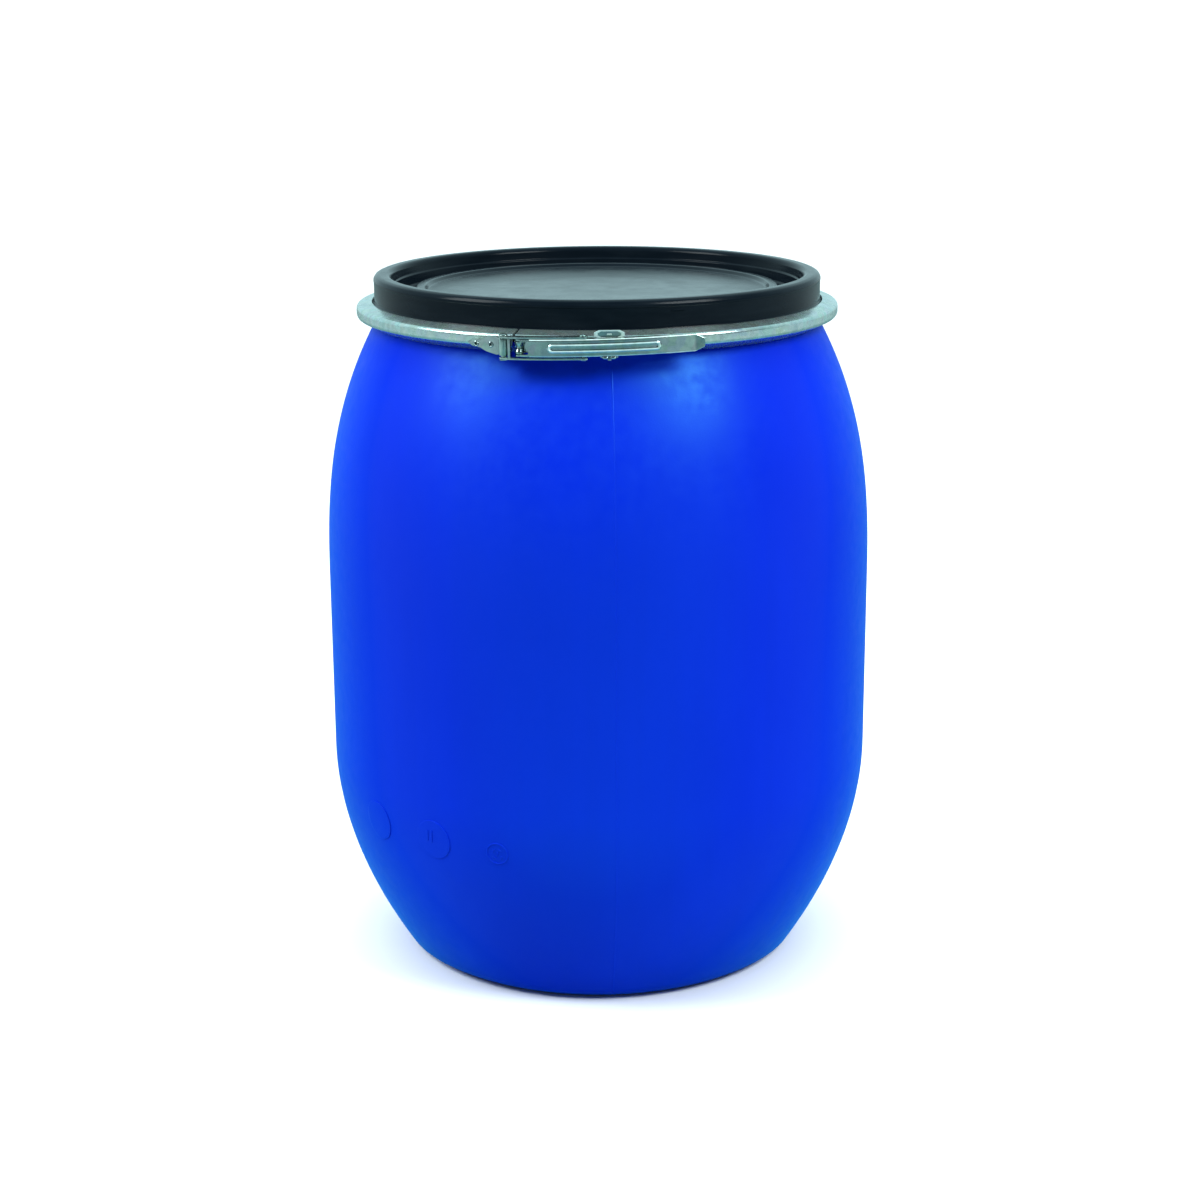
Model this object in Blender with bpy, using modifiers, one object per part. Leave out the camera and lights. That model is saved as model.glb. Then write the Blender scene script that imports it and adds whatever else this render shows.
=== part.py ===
"""Plastic open head drum with a loose lid and a lever lock clamp ring.

Metres, +Z up. The origin is the centre of the drum's foot, and the clasp faces -Y.
Azimuths are in degrees round the drum, 0 at the front (-Y), positive towards +X.
Radii and heights in the tables below are in millimetres.
"""
import math

import bmesh
import bpy
from mathutils import Matrix, Vector

MM = 0.001

# Drum body
BODY_RADIUS = 200.0
WALL = 4.0
HEEL_TOP_Z, WAIST_LOW_Z = 3.9, 154.4
WAIST_HIGH_Z, SHOULDER_TOP_Z = 282.2, 475.9
HEEL_SHARE, HEEL_POWER = 0.2588, 1.92
SHOULDER_SHARE, SHOULDER_POWER = 0.2075, 2.665
OUTER_WALL_STEPS, INNER_WALL_STEPS = 7, 4
FOOT_INNER_RADIUS, FOOT_OUTER_RADIUS = 112.0, 130.0
FOOT_DOME_Z = 6.0
NECK_OUTER_RADIUS, NECK_INNER_RADIUS, NECK_TOP_Z = 157.9, 153.1, 498.9
FLANGE_RADIUS, FLANGE_TOP_Z, FLANGE_ROOT_Z = 171.6, 479.0, 471.6
TURNED_STEPS = 48

# Lid and its seal
LID_WALL = 3.0
LID_DISC_Z, LID_RAISED_Z, LID_GROOVE_Z = 493.7, 496.0, 488.5
LID_RIM_Z, LID_SKIRT_RADIUS = 505.8, 161.5
GASKET_INNER_RADIUS, GASKET_OUTER_RADIUS = 152.5, 158.2
GASKET_LOW_Z, GASKET_HIGH_Z = 499.2, 502.1

# Clamp ring, a formed steel strip
SHEET = 1.2
RING_RADIUS = 174.2
RING_PATH = [
    (163.2, 486.6), (172.2, 484.1), (173.7, 483.3), (174.2, 482.2),
    (174.2, 477.7), (173.6, 476.6), (172.4, 475.9), (163.0, 471.0),
]
RING_END_GAP = 0.6              # degrees between the strip's two ends
RING_GAP_AZIMUTH = -18.5        # middle of that gap
RING_BACK_AZIMUTH = RING_GAP_AZIMUTH + 180.0
FLEX_ANGLES = (30.0, 80.0, 130.0)  # flex lines, degrees round from the middle of the back
FLEX_CUT = 0.14                 # degrees between two stretches of strip

# Clasp
CLASP_MID_Z = 477.2
PIVOT_RADIUS = 177.7
LINK_PIVOT_AZIMUTH = -20.32     # pin that joins the link to the left end of the ring
LEVER_PIVOT_AZIMUTH = -16.7     # pin that the lever turns on
LINK_END_AZIMUTH, LINK_END_RADIUS = -2.9, 179.4  # where the link's free end meets the lever
PIN_RADIUS, PIN_HOLE_RADIUS, KNUCKLE_RADIUS = 1.9, 2.2, 3.2
SADDLE_OUTER_RADIUS = 175.7     # outer face of every plate that lies on the ring
KNUCKLE_LOW_Z, KNUCKLE_HIGH_Z = 470.9, 482.1
HINGE_PLATE_OUTLINE = [         # azimuth and height, from the plate's point
    (-29.5, 477.9), (-28.1, 480.3), (-25.5, 481.5), (-24.5, 484.0), (-22.4, 484.0),
    (-21.8, 482.1), (-20.2, 482.1), (-20.2, 470.9), (-21.8, 470.9), (-22.4, 470.4),
    (-24.9, 472.3), (-26.4, 474.6), (-28.1, 475.6),
]
HINGE_PLATE_RIVETS, HINGE_PLATE_RIVET_Z = (-27.2, -23.6), 477.2
BRACKET_AZIMUTHS = (-16.8, -5.6)
BRACKET_LOW_Z, BRACKET_HIGH_Z = 472.8, 481.0
BRACKET_RIVETS = (-12.2, -7.6)
LEVER_OUTER_RADIUS, LEVER_INNER_EDGE = 183.0, 177.4
LEVER_LOW_Z, LEVER_HIGH_Z = 471.4, 483.0
LEVER_START, LEVER_BLADE_START, LEVER_END = -16.1, 13.6, 21.6
LEVER_WINDOW = (-17.9, -14.3)
LEVER_EAR_RADIUS = 3.1
RIB_AZIMUTHS, RIB_HEIGHT, RIB_OUTER_RADIUS = (-9.6, 13.0), 4.8, 184.6
LINK_INNER_RADIUS, LINK_OUTER_RADIUS = 176.6, 182.2
LINK_TOP_Z, LINK_BOTTOM_Z, LINK_SHEET = 484.7, 470.6, 1.4
LINK_EAR_RADIUS = 3.3
LINK_WEB_AZIMUTHS, LINK_WEB_RADII = (-18.92, -18.42), (177.4, 181.8)
CATCH_OUTLINE = [               # stem, and the eight-sided ear above it
    (0.7, 470.3), (4.5, 470.3), (4.5, 483.2), (4.8, 483.2), (5.84, 484.8), (5.84, 487.1),
    (4.8, 488.7), (0.4, 488.7), (-0.65, 487.1), (-0.65, 484.8), (0.4, 483.2), (0.7, 483.2),
]
CATCH_RIVET = 2.6
CATCH_HOOK_AZIMUTHS, CATCH_HOOK_RADIUS, CATCH_HOOK_Z = (1.0, 3.8), 181.4, 472.0
RIVET_Z = 479.5
RIVET_SHANK_RADIUS, RIVET_HOLE_RADIUS, RIVET_HEAD_RADIUS = 1.1, 1.3, 1.7
HEAD_RADIUS, HEAD_HEIGHT = 3.0, 1.1   # heads of the link's pin and studs
CLEARANCE = 0.3                 # between a head and the sheet that it holds
UPPER_STUD_GAP, LOWER_STUD_GAP = 0.15, 0.7   # between the link's studs and the lever
GRIP_WIDTH, GRIP_TURN = 6.4, -2.4     # finger grip at the lever's end, and its flare
CLASP_RISE, RISE_AZIMUTH = 1.35, -10.0  # tilt of the lever and link on the ring, and its centre
CUT = 20.0                      # reach of a cutter past what it cuts
SEAM = 0.05                     # step that keeps joined faces out of one plane

PARTS = "open_head_drum"
CUTTERS = "cutters"


def clear_scene():
    for old in list(bpy.data.objects):
        bpy.data.objects.remove(old, do_unlink=True)


def collection(name):
    made = bpy.data.collections.new(name)
    bpy.context.scene.collection.children.link(made)
    return made


def material(name, colour, roughness, metallic=0.0):
    made = bpy.data.materials.new(name)
    made.use_nodes = True
    shader = made.node_tree.nodes["Principled BSDF"]
    shader.inputs["Base Color"].default_value = (*colour, 1.0)
    shader.inputs["Roughness"].default_value = roughness
    shader.inputs["Metallic"].default_value = metallic
    return made


def around(radius, azimuth, z):
    """A point in metres from its radius, azimuth and height in the tables' units."""
    turn = math.radians(azimuth)
    return Vector((radius * math.sin(turn), -radius * math.cos(turn), z)) * MM


def add(mesh, name, finish, home):
    """An object of this mesh, shaded smooth across shallow edges."""
    made = bpy.data.objects.new(name, mesh)
    mesh.shade_smooth()
    mesh.set_sharp_from_angle(angle=math.radians(35))
    if finish:
        mesh.materials.append(finish)
    home.objects.link(made)
    return made


def as_cutter(made):
    made.hide_render = True
    made.display_type = "WIRE"
    return made


def path_mesh(name, points):
    """A polyline of (radius, height) points in the XZ plane."""
    mesh = bpy.data.meshes.new(name)
    shape = bmesh.new()
    closed = points[0] == points[-1]
    corners = [shape.verts.new((x * MM, 0.0, z * MM)) for x, z in points[closed:]]
    for first, second in zip(corners, corners[1:] + corners[:1] if closed else corners[1:]):
        shape.edges.new((first, second))
    shape.to_mesh(mesh)
    shape.free()
    return mesh


def screw(made, degrees, steps):
    turn = made.modifiers.new("Turn", "SCREW")
    turn.angle = math.radians(degrees)
    turn.steps = turn.render_steps = steps
    turn.use_merge_vertices = True
    turn.merge_threshold = 0.00001
    turn.use_smooth_shade = True


def turned(name, profile, finish, home):
    """A full turn of a profile that runs down the outer side of the shape."""
    made = add(path_mesh(name, profile), name, finish, home)
    screw(made, 360.0, TURNED_STEPS)
    return made


def sheet_arc(name, path, start, end, thickness, finish, home, step=3.0):
    """Sheet metal bent along a path and curved round the drum between two azimuths."""
    made = add(path_mesh(name, path), name, finish, home)
    made.rotation_euler.z = math.radians(start - 90.0)
    screw(made, end - start, max(2, round((end - start) / step)))
    shell = made.modifiers.new("Sheet", "SOLIDIFY")
    shell.thickness = thickness * MM
    shell.offset = -1.0
    shell.use_even_offset = True
    return made


def block_arc(name, low, high, start, end, home, step=3.0):
    """A curved block between two corners given as (radius, height)."""
    path = [(high[0], high[1]), (high[0], low[1])]
    return as_cutter(sheet_arc(name, path, start, end, high[0] - low[0], None, home, step))


def cylinder(name, radius, low, high, centre_radius, azimuth, finish, home, sides=20):
    """An upright cylinder on its own axis."""
    shape = bmesh.new()
    bmesh.ops.create_cone(
        shape, cap_ends=True, segments=sides, radius1=radius * MM, radius2=radius * MM,
        depth=(high - low) * MM)
    mesh = bpy.data.meshes.new(name)
    shape.to_mesh(mesh)
    shape.free()
    made = add(mesh, name, finish, home)
    made.location = around(centre_radius, azimuth, (low + high) / 2)
    return made


def box(name, size, location, turn, home):
    """A block with its length, depth and height in millimetres, for cutting or joining."""
    shape = bmesh.new()
    bmesh.ops.create_cube(shape, size=1.0)
    bmesh.ops.scale(shape, vec=Vector(size) * MM, verts=shape.verts)
    mesh = bpy.data.meshes.new(name)
    shape.to_mesh(mesh)
    shape.free()
    made = add(mesh, name, None, home)
    made.location = location
    made.rotation_euler = turn
    return as_cutter(made)


def combine(made, other, operation):
    step = made.modifiers.new(operation.title(), "BOOLEAN")
    step.operation = operation
    step.object = other


def cut(made, *others):
    for other in others:
        combine(made, other, "DIFFERENCE")


def join(made, *others):
    for other in others:
        combine(made, other, "UNION")


def pin_profile(shank, head, bottom, low_grip, high_grip, top, crown):
    """Profile of a headed pin, from the top of one dome to the bottom of the other."""
    return [
        (0.0, top), (head * 0.62, top - crown * 0.35), (head, top - crown), (head, high_grip),
        (shank, high_grip), (shank, low_grip), (head, low_grip), (head, bottom + crown),
        (head * 0.62, bottom + crown * 0.35), (0.0, bottom),
    ]


def upright_pin(name, profile, radius, azimuth, finish, home):
    made = add(path_mesh(name, profile), name, finish, home)
    made.location = around(radius, azimuth, 0.0)
    screw(made, 360.0, 16)
    return made


def radial_rivet(name, azimuth, z, headed, finish, home):
    """A rivet through a plate and the ring's band, with a flat inner head if headed."""
    inner, outer = RING_RADIUS - SHEET, SADDLE_OUTER_RADIUS
    profile = pin_profile(
        RIVET_SHANK_RADIUS, RIVET_HEAD_RADIUS, inner - 0.95, inner - 0.25,
        outer + 0.25, outer + 1.35, 0.55)
    tail = RIVET_HEAD_RADIUS if headed else RIVET_SHANK_RADIUS
    profile[-3:] = [(tail, inner - 0.95), (0.0, inner - 0.95)]
    if not headed:
        profile.remove((RIVET_HEAD_RADIUS, inner - 0.25))
        profile.remove((RIVET_SHANK_RADIUS, inner - 0.25))
    made = add(path_mesh(name, profile), name, finish, home)
    made.location = (0.0, 0.0, z * MM)
    # the profile's own axis is turned to lie along the outward radius
    made.rotation_euler = (math.radians(90.0), 0.0, math.radians(azimuth))
    screw(made, 360.0, 12)
    return made


def rivet_hole(name, azimuth, z, home):
    made = cylinder(name, RIVET_HOLE_RADIUS, 0.0, CUT, RING_RADIUS, azimuth, None, home, 14)
    made.location = around(RING_RADIUS, azimuth, z)
    made.rotation_euler = (math.radians(90.0), 0.0, math.radians(azimuth))
    return as_cutter(made)


def body_radius(z):
    """Outer radius of the bowed wall at a height."""
    if z < WAIST_LOW_Z:
        share = (WAIST_LOW_Z - z) / (WAIST_LOW_Z - HEEL_TOP_Z)
        return BODY_RADIUS * (1 - HEEL_SHARE * share ** HEEL_POWER)
    if z > WAIST_HIGH_Z:
        share = (z - WAIST_HIGH_Z) / (SHOULDER_TOP_Z - WAIST_HIGH_Z)
        return BODY_RADIUS * (1 - SHOULDER_SHARE * share ** SHOULDER_POWER)
    return BODY_RADIUS


def spaced(start, stop, count, power):
    """Heights from start to stop, closer together near start if power is above 1."""
    return [start + (stop - start) * (i / count) ** power for i in range(count + 1)]


def drum_body(finish, home):
    def wall(steps, inset):
        """Points down the wall, from under the flange to the heel."""
        shoulder = spaced(FLANGE_ROOT_Z, WAIST_HIGH_Z, steps, 1.4)
        heel = spaced(HEEL_TOP_Z, WAIST_LOW_Z, steps, 1.2)
        return [(body_radius(z) - inset, z) for z in shoulder + heel[::-1]]

    inner = [(0.0, FOOT_DOME_Z + 5.0), (104.0, 9.4), (113.0, 5.4), (130.0, 5.2), (140.0, 7.2)]
    inner += wall(INNER_WALL_STEPS, WALL)[1:-1][::-1]
    inner += [(NECK_INNER_RADIUS, 474.0), (NECK_INNER_RADIUS, NECK_TOP_Z)]
    outer = [(NECK_OUTER_RADIUS, NECK_TOP_Z), (NECK_OUTER_RADIUS, FLANGE_TOP_Z),
             (FLANGE_RADIUS, FLANGE_TOP_Z), (FLANGE_RADIUS, 477.9), (170.9, 477.1)]
    outer += wall(OUTER_WALL_STEPS, 0.0)
    outer += [(141.5, 1.2), (FOOT_OUTER_RADIUS, 0.0), (FOOT_INNER_RADIUS, 0.0),
              (105.0, 4.2), (0.0, FOOT_DOME_Z)]
    return turned("drum_body", inner + outer, finish, home)


def lid(finish, home):
    inside = LID_WALL
    outer = [
        (0.0, LID_DISC_Z), (122.5, LID_DISC_Z), (124.2, LID_RAISED_Z - 0.7),
        (125.2, LID_RAISED_Z), (130.0, LID_RAISED_Z), (131.2, LID_RAISED_Z - 0.8),
        (131.9, LID_GROOVE_Z + 1.0), (133.2, LID_GROOVE_Z), (144.6, LID_GROOVE_Z),
        (146.4, LID_GROOVE_Z + 1.4), (147.0, 496.8), (148.1, 497.5), (148.7, 503.4),
        (149.6, 504.9), (151.4, LID_RIM_Z), (157.6, LID_RIM_Z), (160.1, 504.9),
        (LID_SKIRT_RADIUS, 502.9), (LID_SKIRT_RADIUS, 486.6), (162.6, 485.1),
        (170.9, 482.7), (171.5, 481.9), (171.5, 479.5),
    ]
    under = [
        (158.7, 479.5), (158.7, 502.4), (152.0, 502.4), (151.4, 487.4), (149.6, 485.5),
        (132.0, LID_GROOVE_Z - inside), (129.0, LID_GROOVE_Z - inside + 1.6),
        (128.3, LID_RAISED_Z - inside), (126.4, LID_RAISED_Z - inside),
        (123.8, LID_DISC_Z - inside), (0.0, LID_DISC_Z - inside),
    ]
    return turned("lid", outer + under, finish, home)


def lid_gasket(finish, home):
    section = [
        (GASKET_OUTER_RADIUS, GASKET_HIGH_Z), (GASKET_OUTER_RADIUS, GASKET_LOW_Z),
        (GASKET_INNER_RADIUS, GASKET_LOW_Z), (GASKET_INNER_RADIUS, GASKET_HIGH_Z),
        (GASKET_OUTER_RADIUS, GASKET_HIGH_Z),
    ]
    return turned("lid_gasket", section, finish, home)


def ring_stretches():
    """Name, start and end azimuth of each stretch of the ring between its flex lines."""
    end = 180.0 - RING_END_GAP / 2
    edges = [*FLEX_ANGLES, end]
    back = RING_BACK_AZIMUTH
    spans = [("clamp_ring_back", -edges[0], edges[0])]
    for place, low, high in zip(("rear", "mid", "front"), edges, edges[1:]):
        spans.append((f"clamp_ring_right_{place}", -high, -low))
        spans.append((f"clamp_ring_left_{place}", low, high))
    for name, low, high in spans:
        low += FLEX_CUT / 2 if low > -end else 0.0
        high -= FLEX_CUT / 2 if high < end else 0.0
        yield name, back + low, back + high


def clamp_ring(finish, home, cutters):
    """The ring's strip in stretches, with rivet holes through the band of the front ones."""
    strips = {}
    for name, start, end in ring_stretches():
        strips[name] = sheet_arc(name, RING_PATH, start, end, SHEET, finish, home, 5.0)
    for azimuth in HINGE_PLATE_RIVETS:
        hole = rivet_hole("ring_rivet_hole", azimuth, HINGE_PLATE_RIVET_Z, cutters)
        cut(strips["clamp_ring_left_front"], hole)
    for azimuth in (*BRACKET_RIVETS, CATCH_RIVET):
        hole = rivet_hole("ring_rivet_hole", azimuth, RIVET_Z, cutters)
        cut(strips["clamp_ring_right_front"], hole)
    return strips


def saddle(name, low_z, high_z, start, end, finish, home):
    """A plate that lies against the ring's band."""
    path = [(SADDLE_OUTER_RADIUS, high_z), (SADDLE_OUTER_RADIUS, low_z)]
    return sheet_arc(name, path, start, end, SHEET, finish, home, 1.5)


def prism(name, outline, home):
    """A block that runs through the ring, with an outline of (azimuth, height) points."""
    azimuths = [azimuth for azimuth, z in outline]
    middle = (min(azimuths) + max(azimuths)) / 2
    shape = bmesh.new()
    shape.faces.new([
        shape.verts.new((SADDLE_OUTER_RADIUS * math.sin(math.radians(azimuth - middle)) * MM,
                         0.0, z * MM))
        for azimuth, z in outline])
    mesh = bpy.data.meshes.new(name)
    shape.to_mesh(mesh)
    shape.free()
    made = add(mesh, name, None, home)
    made.location = around(SADDLE_OUTER_RADIUS, middle, 0.0)
    made.rotation_euler.z = math.radians(middle)
    block = made.modifiers.new("Block", "SOLIDIFY")
    block.thickness = CUT * MM
    block.offset = 0.0
    return as_cutter(made)


def saddle_outline(name, outline, finish, home, cutters):
    """A plate against the ring's band, cut to an outline of (azimuth, height) points."""
    azimuths = [azimuth for azimuth, z in outline]
    heights = [z for azimuth, z in outline]
    plate = saddle(name, min(heights) - 1.0, max(heights) + 1.0, min(azimuths) - 1.0,
                   max(azimuths) + 1.0, finish, home)
    combine(plate, prism(name + "_outline", outline, cutters), "INTERSECT")
    return plate


def knuckle(name, low_z, high_z, azimuth, home):
    return as_cutter(cylinder(name, KNUCKLE_RADIUS, low_z + SEAM, high_z - SEAM, PIVOT_RADIUS,
                              azimuth, None, home))


def lean(*pieces):
    """Tilts pieces of the clasp, and all that cuts or joins them, so that they rise towards +X."""
    bpy.context.view_layer.update()
    centre = around(PIVOT_RADIUS, RISE_AZIMUTH, CLASP_MID_Z)
    facing = around(1.0, RISE_AZIMUTH, 0.0).normalized()
    turn = Matrix.Rotation(math.radians(CLASP_RISE), 4, facing)
    tilt = Matrix.Translation(centre) @ turn @ Matrix.Translation(-centre)
    waiting = list(pieces)
    while waiting:
        piece = waiting.pop()
        piece.matrix_world = tilt @ piece.matrix_world
        waiting += [step.object for step in piece.modifiers if step.type == "BOOLEAN"]


def pin_hole(name, azimuth, home, radius=PIVOT_RADIUS):
    return as_cutter(cylinder(name, PIN_HOLE_RADIUS, CLASP_MID_Z - CUT, CLASP_MID_Z + CUT,
                              radius, azimuth, None, home))


def hinge_plate(finish, home, cutters):
    """Pointed plate on the left end of the ring, with the knuckle of the link's pin."""
    plate = saddle_outline("hinge_plate", HINGE_PLATE_OUTLINE, finish, home, cutters)
    join(plate, knuckle("hinge_knuckle", KNUCKLE_LOW_Z, KNUCKLE_HIGH_Z, LINK_PIVOT_AZIMUTH,
                        cutters))
    cut(plate, pin_hole("link_pin_hole", LINK_PIVOT_AZIMUTH, cutters))
    for azimuth in HINGE_PLATE_RIVETS:
        cut(plate, rivet_hole("hinge_plate_hole", azimuth, HINGE_PLATE_RIVET_Z, cutters))
    return plate


def lever_bracket(finish, home, cutters):
    """Plate on the right end of the ring, curled round the lever's pin."""
    low, high = BRACKET_LOW_Z, BRACKET_HIGH_Z
    plate = saddle("lever_bracket", low, high, *BRACKET_AZIMUTHS, finish, home)
    join(plate, knuckle("bracket_knuckle", low, high, LEVER_PIVOT_AZIMUTH, cutters))
    cut(plate, pin_hole("lever_pin_hole", LEVER_PIVOT_AZIMUTH, cutters))
    for azimuth in BRACKET_RIVETS:
        cut(plate, rivet_hole("bracket_hole", azimuth, RIVET_Z, cutters))
    return plate


def lever(finish, home, cutters):
    """Channel shaped lever with a pressed rib, a pivot window and a flat finger blade."""
    path = [(LEVER_INNER_EDGE, LEVER_HIGH_Z), (LEVER_OUTER_RADIUS, LEVER_HIGH_Z),
            (LEVER_OUTER_RADIUS, LEVER_LOW_Z), (LEVER_INNER_EDGE, LEVER_LOW_Z)]
    bar = sheet_arc("lever", path, LEVER_START, LEVER_END, SHEET, finish, home, 2.5)
    mid_wall = LEVER_OUTER_RADIUS - SHEET / 2
    for low, high in ((LEVER_HIGH_Z - SHEET, LEVER_HIGH_Z), (LEVER_LOW_Z, LEVER_LOW_Z + SHEET)):
        ear = cylinder("lever_ear", LEVER_EAR_RADIUS, low + SEAM, high - SEAM, PIVOT_RADIUS,
                       LEVER_PIVOT_AZIMUTH, None, cutters)
        join(bar, as_cutter(ear))
    window = block_arc("lever_window", (mid_wall - SHEET, LEVER_LOW_Z + SHEET),
                       (LEVER_OUTER_RADIUS + CUT, LEVER_HIGH_Z - SHEET), *LEVER_WINDOW, cutters)
    rib_low, rib_high = CLASP_MID_Z - RIB_HEIGHT / 2, CLASP_MID_Z + RIB_HEIGHT / 2
    rib = block_arc("lever_rib", (mid_wall, rib_low), (RIB_OUTER_RADIUS, rib_high),
                    *RIB_AZIMUTHS, cutters, 2.5)
    blade_space = block_arc("lever_blade_space", (LEVER_INNER_EDGE - CUT, LEVER_LOW_Z - CUT),
                            (LEVER_OUTER_RADIUS - SHEET, LEVER_HIGH_Z + CUT),
                            LEVER_BLADE_START, LEVER_END + 5.0, cutters)
    grip = box("lever_grip", (GRIP_WIDTH, SHEET, LEVER_HIGH_Z - LEVER_LOW_Z),
               around(LEVER_OUTER_RADIUS + 0.5, LEVER_END + 0.6, CLASP_MID_Z),
               (0.0, 0.0, math.radians(LEVER_END + GRIP_TURN)), cutters)
    join(bar, rib)
    cut(bar, blade_space, window, pin_hole("lever_hole", LEVER_PIVOT_AZIMUTH, cutters))
    join(bar, grip)
    return bar


def link(finish, home, cutters):
    """Stirrup of two arms over and under the lever, joined by a web beside its pin."""
    def arm(name, high, style, place):
        path = [(LINK_INNER_RADIUS, high), (LINK_OUTER_RADIUS, high)]
        strip = sheet_arc(name, path, LINK_PIVOT_AZIMUTH, LINK_END_AZIMUTH, LINK_SHEET,
                          style, place, 2.5)
        for azimuth, radius in ((LINK_PIVOT_AZIMUTH, PIVOT_RADIUS),
                                (LINK_END_AZIMUTH, LINK_END_RADIUS)):
            ear = cylinder(name + "_ear", LINK_EAR_RADIUS, high - LINK_SHEET, high, radius,
                           azimuth, None, cutters)
            join(strip, as_cutter(ear))
        return strip

    stirrup = arm("link", LINK_TOP_Z, finish, home)
    join(stirrup, as_cutter(arm("link_lower_arm", LINK_BOTTOM_Z, None, cutters)))
    web = block_arc("link_web", (LINK_WEB_RADII[0], LINK_BOTTOM_Z - LINK_SHEET / 2),
                    (LINK_WEB_RADII[1], LINK_TOP_Z - LINK_SHEET / 2), *LINK_WEB_AZIMUTHS, cutters)
    join(stirrup, web)
    cut(stirrup, pin_hole("link_hole", LINK_PIVOT_AZIMUTH, cutters),
        pin_hole("link_end_hole", LINK_END_AZIMUTH, cutters, LINK_END_RADIUS))
    return stirrup


def catch_plate(finish, home, cutters):
    """Catch on the ring behind the lever, with a seal ear above it and a hook below it."""
    plate = saddle_outline("catch_plate", CATCH_OUTLINE, finish, home, cutters)
    hook = block_arc("catch_hook", (SADDLE_OUTER_RADIUS - SHEET / 2, CATCH_HOOK_Z - SHEET),
                     (CATCH_HOOK_RADIUS, CATCH_HOOK_Z), *CATCH_HOOK_AZIMUTHS, cutters, 1.4)
    join(plate, hook)
    cut(plate, rivet_hole("catch_hole", CATCH_RIVET, RIVET_Z, cutters))
    return plate


def joint_axis(name, location):
    axis = bpy.data.objects.new(name, None)
    axis.location = location
    axis.empty_display_size = 0.02
    bpy.context.scene.collection.objects.link(axis)
    return axis


def hold(axis, *pieces):
    """Parents each piece to the empty on its joint's axis, and leaves it where it is."""
    bpy.context.view_layer.update()
    for piece in pieces:
        piece.parent = axis
        piece.matrix_parent_inverse = axis.matrix_world.inverted()


def build():
    clear_scene()
    parts, cutters = collection(PARTS), collection(CUTTERS)
    blue = material("blue_hdpe", (0.004, 0.035, 0.72), 0.42)
    black = material("black_hdpe", (0.010, 0.016, 0.022), 0.3)
    rubber = material("seal_rubber", (0.05, 0.05, 0.05), 0.8)
    zinc = material("galvanised_steel", (0.62, 0.70, 0.69), 0.34, 1.0)

    drum_body(blue, parts)
    cover = lid(black, parts)
    seal = lid_gasket(rubber, parts)
    strips = clamp_ring(zinc, parts, cutters)
    plate = hinge_plate(zinc, parts, cutters)
    bracket = lever_bracket(zinc, parts, cutters)
    bar = lever(zinc, parts, cutters)
    stirrup = link(zinc, parts, cutters)
    catch = catch_plate(zinc, parts, cutters)

    rivets = {
        name: radial_rivet(name, azimuth, z, headed, zinc, parts)
        for name, azimuth, z, headed in (
            ("hinge_plate_rivet_1", HINGE_PLATE_RIVETS[0], HINGE_PLATE_RIVET_Z, False),
            ("hinge_plate_rivet_2", HINGE_PLATE_RIVETS[1], HINGE_PLATE_RIVET_Z, False),
            ("lever_bracket_rivet_1", BRACKET_RIVETS[0], RIVET_Z, True),
            ("lever_bracket_rivet_2", BRACKET_RIVETS[1], RIVET_Z, True),
            ("catch_rivet", CATCH_RIVET, RIVET_Z, True),
        )
    }
    top, bottom = LINK_TOP_Z, LINK_BOTTOM_Z - LINK_SHEET
    low_grip, high_grip = bottom - CLEARANCE, top + CLEARANCE
    outline = pin_profile(PIN_RADIUS, HEAD_RADIUS, low_grip - HEAD_HEIGHT, low_grip, high_grip,
                          high_grip + HEAD_HEIGHT, 0.7)
    link_pin = upright_pin("link_pin", outline, PIVOT_RADIUS, LINK_PIVOT_AZIMUTH, zinc, parts)
    lever_pin = cylinder("lever_pin", PIN_RADIUS, LEVER_LOW_Z, LEVER_HIGH_Z, PIVOT_RADIUS,
                         LEVER_PIVOT_AZIMUTH, zinc, parts, 16)
    studs = []
    for name, tip, grip, outwards in (
            ("link_stud_top", LEVER_HIGH_Z + UPPER_STUD_GAP, high_grip, 1),
            ("link_stud_bottom", LEVER_LOW_Z - LOWER_STUD_GAP, low_grip, -1)):
        profile = [(0.0, tip), (PIN_RADIUS, tip), (PIN_RADIUS, grip), (HEAD_RADIUS, grip),
                   (PIN_RADIUS, grip + outwards * 0.7), (0.0, grip + outwards)]
        # the outline runs down the stud in both cases
        studs.append(upright_pin(name, profile[::-outwards], LINK_END_RADIUS, LINK_END_AZIMUTH,
                                 zinc, parts))

    lean(bar, stirrup, link_pin, lever_pin, *studs)

    hold(joint_axis("lid_axis", (0.0, 0.0, 0.0)), cover, seal)
    hold(joint_axis("ring_axis", (0.0, 0.0, 0.0)), strips["clamp_ring_back"])
    for side, sign in (("left", 1.0), ("right", -1.0)):
        for place, angle in zip(("rear", "mid", "front"), FLEX_ANGLES):
            point = around(RING_RADIUS, RING_BACK_AZIMUTH + sign * angle, CLASP_MID_Z)
            axis = joint_axis(f"flex_{side}_{place}_axis", point)
            hold(axis, strips[f"clamp_ring_{side}_{place}"])
            if (side, place) == ("left", "front"):
                hold(axis, plate, link_pin, rivets["hinge_plate_rivet_1"],
                     rivets["hinge_plate_rivet_2"])
            if (side, place) == ("right", "front"):
                hold(axis, bracket, catch, rivets["lever_bracket_rivet_1"],
                     rivets["lever_bracket_rivet_2"], rivets["catch_rivet"])
    lever_axis = joint_axis("lever_axis", around(PIVOT_RADIUS, LEVER_PIVOT_AZIMUTH, CLASP_MID_Z))
    hold(lever_axis, bar, lever_pin)
    hold(joint_axis("link_axis", around(PIVOT_RADIUS, LINK_PIVOT_AZIMUTH, CLASP_MID_Z)),
         stirrup, *studs)


build()
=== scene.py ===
import math

import bmesh
import bpy
import numpy as np
from mathutils import Matrix, Vector


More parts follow.
